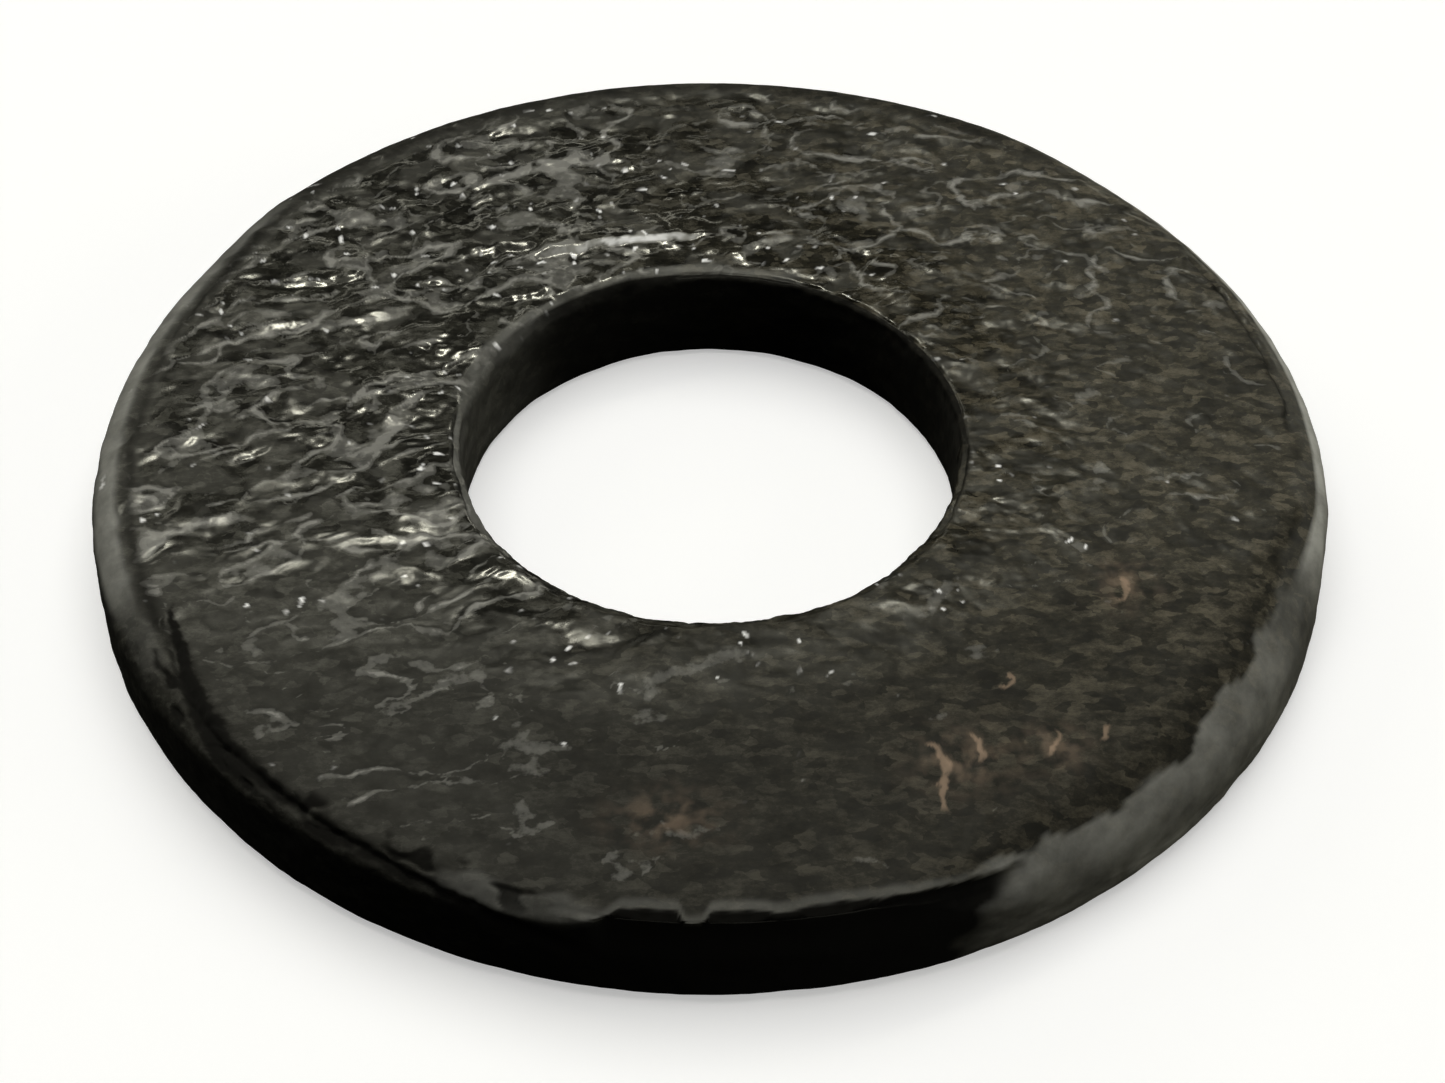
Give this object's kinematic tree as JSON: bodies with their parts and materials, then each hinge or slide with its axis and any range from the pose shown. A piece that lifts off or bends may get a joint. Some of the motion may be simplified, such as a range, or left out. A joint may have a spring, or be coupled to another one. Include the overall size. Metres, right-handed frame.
{
  "type": "flat washer",
  "caption": "Thick round flat washer with a plain central hole, a wide rolled top shoulder and a glossy black coating, to spread a bolt's or nut's load.",
  "frame": {"origin": "centre of the hole on the underside, the plane that the washer lies on", "axes": "+Z along the hole, out of the rolled-over top face; +X and +Y lie in the plane of the washer, which looks the same whichever way they are turned"},
  "size_m": [0.0352, 0.0352, 0.0032],
  "materials": {
    "black_coating": "glossy black coating over wrinkled, hammered-looking steel, with thin worn spots along the edges"
  },
  "bodies": {
    "root": {"flat_washer": "black_coating"}
  },
  "joints": []
}
